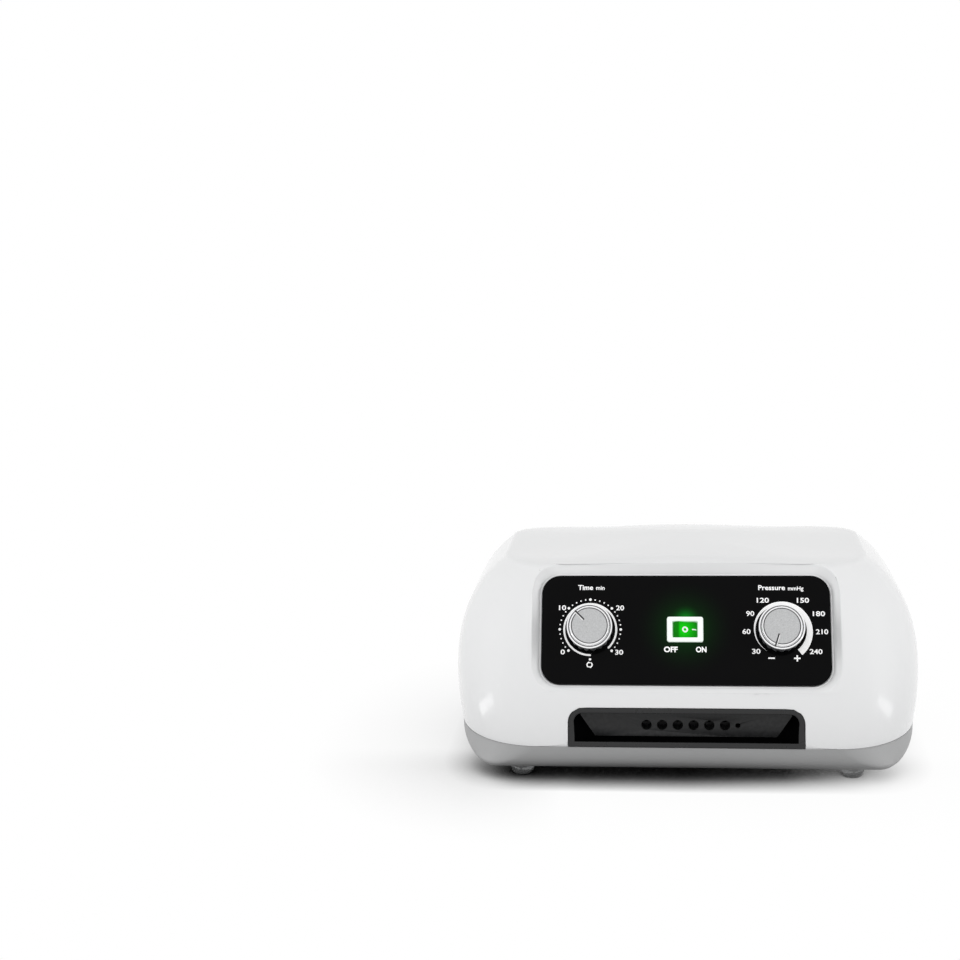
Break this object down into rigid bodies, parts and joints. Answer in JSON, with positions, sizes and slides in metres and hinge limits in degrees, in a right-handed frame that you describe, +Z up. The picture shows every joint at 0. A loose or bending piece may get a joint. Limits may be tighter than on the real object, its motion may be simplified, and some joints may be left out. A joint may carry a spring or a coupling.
{
  "type": "compression therapy pump",
  "caption": "Tabletop air compression therapy pump with two dials, a lit rocker switch and a recessed row of hose outlets.",
  "frame": {"origin": "centre of the footprint on the table, between the four feet", "axes": "+X to the right seen from the front, +Y to the back, +Z up"},
  "size_m": [0.277, 0.1892, 0.1268],
  "materials": {
    "white_housing": "gloss",
    "grey_base": "satin",
    "black_gloss": "gloss",
    "white_switch": "gloss",
    "green_rocker": "gloss",
    "brass": "satin",
    "steel": "satin",
    "knob_skirt": "satin",
    "knob_face": "satin",
    "cream_plastic": "satin",
    "dark_plastic": "satin",
    "black_satin": "satin",
    "iron": "matte",
    "copper": "gloss",
    "rubber": "matte",
    "foot_rubber": "satin",
    "clear_hose": "gloss",
    "board_green": "satin"
  },
  "bodies": {
    "housing": {"upper_shell": "white_housing", "lower_shell": "grey_base", "foot_front_left": "foot_rubber", "foot_front_right": "foot_rubber", "foot_rear_left": "foot_rubber", "foot_rear_right": "foot_rubber", "housing_screws": "steel", "control_panel": "black_gloss", "switch_housing": "white_switch", "switch_lamp": "green_rocker", "switch_terminals": "brass", "timer_body": "cream_plastic", "timer_nut": "steel", "pressure_control": "dark_plastic", "pressure_nut": "steel", "hose_tray": "black_satin", "outlet_manifold": "black_satin", "mains_inlet": "black_satin", "inlet_pins": "brass", "fuse_holder": "black_satin", "fuse_cap": "black_satin", "compressor_frame": "steel", "stator_front": "iron", "stator_rear": "iron", "coil_front": "copper", "coil_rear": "copper", "diaphragm_left": "rubber", "diaphragm_right": "rubber", "pump_head_left": "dark_plastic", "pump_head_right": "dark_plastic", "compressor_mounts": "rubber", "distributor_body": "cream_plastic", "distributor_cover": "cream_plastic", "gear_motor": "steel", "supply_hose": "clear_hose", "bleed_hose": "clear_hose", "outlet_hoses": "clear_hose", "control_board": "board_green", "board_transformer": "iron", "board_parts": "dark_plastic"},
    "time_dial": {"time_knob": "knob_skirt", "time_knob_cap": "knob_face", "timer_shaft": "steel"},
    "pressure_dial": {"pressure_knob": "knob_skirt", "pressure_knob_cap": "knob_face", "pressure_shaft": "steel"},
    "power_rocker": {"switch_rocker": "green_rocker"},
    "pump_armature": {"armature": "steel"},
    "distributor_disc": {"distributor_rotor": "cream_plastic"}
  },
  "joints": [
    {"name": "time_turn", "type": "hinge", "parent": "housing", "child": "time_dial", "pos_m": [-0.0551, -0.071, 0.086], "axis": [0, 0.8949, -0.4462], "range_deg": [-135, 180]},
    {"name": "pressure_turn", "type": "hinge", "parent": "housing", "child": "pressure_dial", "pos_m": [0.0551, -0.071, 0.086], "axis": [0, 0.8949, -0.4462], "range_deg": [0, 300]},
    {"name": "rocker_tilt", "type": "hinge", "parent": "housing", "child": "power_rocker", "pos_m": [0, -0.06885, 0.08493], "axis": [0, -0.4462, -0.8949], "range_deg": [0, 24]},
    {"name": "armature_slide", "type": "slide", "parent": "housing", "child": "pump_armature", "axis": [1, 0, 0], "range_m": [-0.0015, 0.0015], "stiffness_N_per_m": 2500},
    {"name": "distributor_turn", "type": "hinge", "parent": "housing", "child": "distributor_disc", "pos_m": [0.096, -0.025, 0.038], "axis": [0, 0, 1], "continuous": true}
  ]
}
